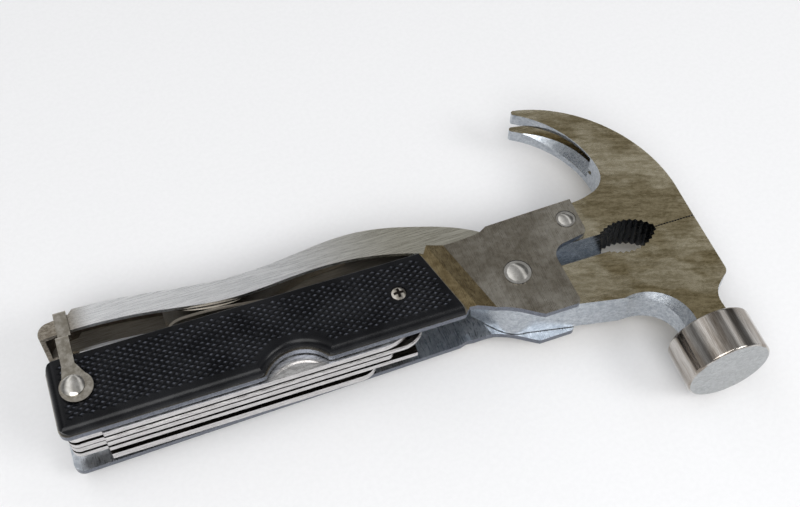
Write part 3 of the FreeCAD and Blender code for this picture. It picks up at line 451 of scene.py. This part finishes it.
def checkering(name, side, low, notch):
    """Staggered rows of points on one scale."""
    mesh = bmesh.new()
    for column in range(math.floor(FIELD_LEFT / CHECK_X), 0):
        for row in range(math.floor(low / CHECK_Y), math.ceil(FIELD_HIGH / CHECK_Y)):
            x = column * CHECK_X
            y = row * CHECK_Y
            if (row + column) % 2 == 0 and on_field(x, y, low, notch):
                pyramid(mesh, spot(x, y, side * SCALE_FACE), side)
    data = bpy.data.meshes.new(name)
    mesh.to_mesh(data)
    mesh.free()
    piece = bpy.data.objects.new(name, data)
    bpy.context.scene.collection.objects.link(piece)
    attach(piece, "handle")
    return piece


# ---- edges --------------------------------------------------------------------------------

def soften(width, *names):
    """A narrow rounded edge on CAD nodes, so that their edges catch the light."""
    for name in names:
        modifier = NODES[name].modifiers.new("edge", "BEVEL")
        modifier.width = width * MM
        modifier.segments = 2
        modifier.limit_method = "ANGLE"
        modifier.angle_limit = math.radians(40)


# ---- stage --------------------------------------------------------------------------------

FLOOR_SIZE = 6
FLOOR_GAP = 0.0001         # keeps the floor just under the tool


def floor():
    bpy.ops.mesh.primitive_plane_add(size=FLOOR_SIZE, location=(0, 0, cad_box[0][2] - FLOOR_GAP))
    plane = bpy.context.object
    plane.name = "floor"
    g = Graph("floor_paper")
    grain = g.noise((0.8, 0.8, 0.8), 3.0)
    g.set(Base_Color=g.mix(g.stretch(grain), (0.84, 0.84, 0.848), (0.86, 0.86, 0.868)))
    g.set(Roughness=0.8)
    dress(g.material, plane)


def softbox(name, place, size, power):
    """A rectangular light aimed at the origin."""
    data = bpy.data.lights.new(name, "AREA")
    data.shape = "RECTANGLE"
    data.size, data.size_y = size
    data.energy = power
    lamp = bpy.data.objects.new(name, data)
    lamp.location = place
    lamp.rotation_euler = (-Vector(place)).to_track_quat("-Z", "Y").to_euler()
    bpy.context.scene.collection.objects.link(lamp)


SKY_STRIPS = [              # degrees from overhead towards +X, and how bright the room is there
    (-90, 0.80), (-66, 0.30), (-52, 0.16), (-42, 0.55), (-30, 1.15), (-16, 1.00), (-4, 0.55), (14, 0.36),
    (27, 0.32), (33, 0.85), (40, 0.80), (48, 0.16), (68, 0.12), (80, 0.70), (90, 0.85)]
SKY_TINT = (0.985, 0.99, 1.0)


def sky():
    """A pale room with long soft strips of light and shade overhead, parallel to Y."""
    world = bpy.data.worlds.new("room")
    bpy.context.scene.world = world
    world.use_nodes = True
    tree = world.node_tree
    background = tree.nodes["Background"]
    coords = tree.nodes.new("ShaderNodeTexCoord")
    split = tree.nodes.new("ShaderNodeSeparateXYZ")
    angle = tree.nodes.new("ShaderNodeMath")
    angle.operation = "ARCTAN2"
    share = tree.nodes.new("ShaderNodeMapRange")
    share.inputs["From Min"].default_value = -math.pi / 2
    share.inputs["From Max"].default_value = math.pi / 2
    ramp = tree.nodes.new("ShaderNodeValToRGB")
    tree.links.new(coords.outputs["Generated"], split.inputs[0])
    tree.links.new(split.outputs[0], angle.inputs[0])
    tree.links.new(split.outputs[2], angle.inputs[1])
    tree.links.new(angle.outputs[0], share.inputs["Value"])
    tree.links.new(share.outputs["Result"], ramp.inputs[0])
    tree.links.new(ramp.outputs[0], background.inputs[0])
    stops = ramp.color_ramp.elements
    while len(stops) < len(SKY_STRIPS):
        stops.new(0.5)
    for stop, (degrees, bright) in zip(stops, SKY_STRIPS):
        stop.position = (degrees + 90) / 180
        stop.color = (*(bright * part for part in SKY_TINT), 1)
    background.inputs[1].default_value = 1.0


CAMERA_AZIMUTH = -20.259
CAMERA_ELEVATION = 55.93
CAMERA_ROLL = 0.714
CAMERA_DISTANCE = 324.03
CAMERA_AIM = (-24.519, 20.158, 0.0)
CAMERA_LENS = 55.17


def camera():
    azimuth = math.radians(CAMERA_AZIMUTH)
    elevation = math.radians(CAMERA_ELEVATION)
    roll = math.radians(CAMERA_ROLL)
    back = Vector((math.sin(azimuth) * math.cos(elevation), -math.cos(azimuth) * math.cos(elevation),
                   math.sin(elevation)))
    right = Vector((0, 0, 1)).cross(back).normalized()
    up = back.cross(right)
    across = math.cos(roll) * right + math.sin(roll) * up
    upright = -math.sin(roll) * right + math.cos(roll) * up
    data = bpy.data.cameras.new("camera")
    data.sensor_width = 36.0
    data.lens = CAMERA_LENS
    data.clip_start = 0.01
    item = bpy.data.objects.new("camera", data)
    place = spot(*CAMERA_AIM) + back * CAMERA_DISTANCE * MM
    item.matrix_world = Matrix.Translation(place) @ Matrix((across, upright, back)).transposed().to_4x4()
    bpy.context.scene.collection.objects.link(item)
    bpy.context.scene.camera = item


# ---- the whole scene ----------------------------------------------------------------------

TOOLS = ("saw_blade", "knife_blade", "wood_file", "flat_driver", "phillips_driver", "bottle_opener")
BACK_SPRINGS = [f"back_spring_{number}" for number in range(1, 7)]

dress(jaw_steel(), "claw_jaw", "hammer_jaw")
dress(lever_steel(), "handle_lever")
dress(plate_steel(), "top_side_plate", "bottom_side_plate")
dress(tool_steel(), *TOOLS)
dress(spring_steel(), "spring_anchor", "handle_leaf_spring", "lever_leaf_spring", "tool_washers",
      *BACK_SPRINGS)
dress(nickel("nickel", (0.50, 0.48, 0.44), (0.70, 0.68, 0.64)), "pivot_rivet", "jaw_rivet", "lever_rivets",
      "end_pin", "pin_screws", "anchor_rivets", "lever_leaf_rivet", "cross_pins")
dress(nickel("worn_nickel", (0.26, 0.235, 0.19), (0.46, 0.43, 0.38)), "latch_bail")
dress(nickel("screw_nickel", (0.34, 0.31, 0.26), (0.56, 0.53, 0.48), SCREW_RECESS), "scale_screws")
dress(black_plastic("smooth_black", (0.20, 0.30), 0.003, (0.18, 0.26)), "top_scale", "bottom_scale")
points = black_plastic("checkered_black", (0.30, 0.45), 0.004, (0.04, 0.08), points=True)
dress(points, checkering("top_checkering", 1, TOP_FIELD_LOW, notch=True))
dress(points, checkering("bottom_checkering", -1, BOTTOM_FIELD_LOW, notch=False))

soften(0.15, "claw_jaw", "handle_lever", "top_side_plate", "bottom_side_plate")
soften(0.12, *TOOLS)

floor()
softbox("key", (-0.30, -0.75, 1.05), (0.9, 0.8), 9.5)
softbox("fill", (0.60, -0.60, 0.75), (0.5, 0.4), 3.5)
sky()
camera()
bpy.context.scene.view_settings.view_transform = "Standard"
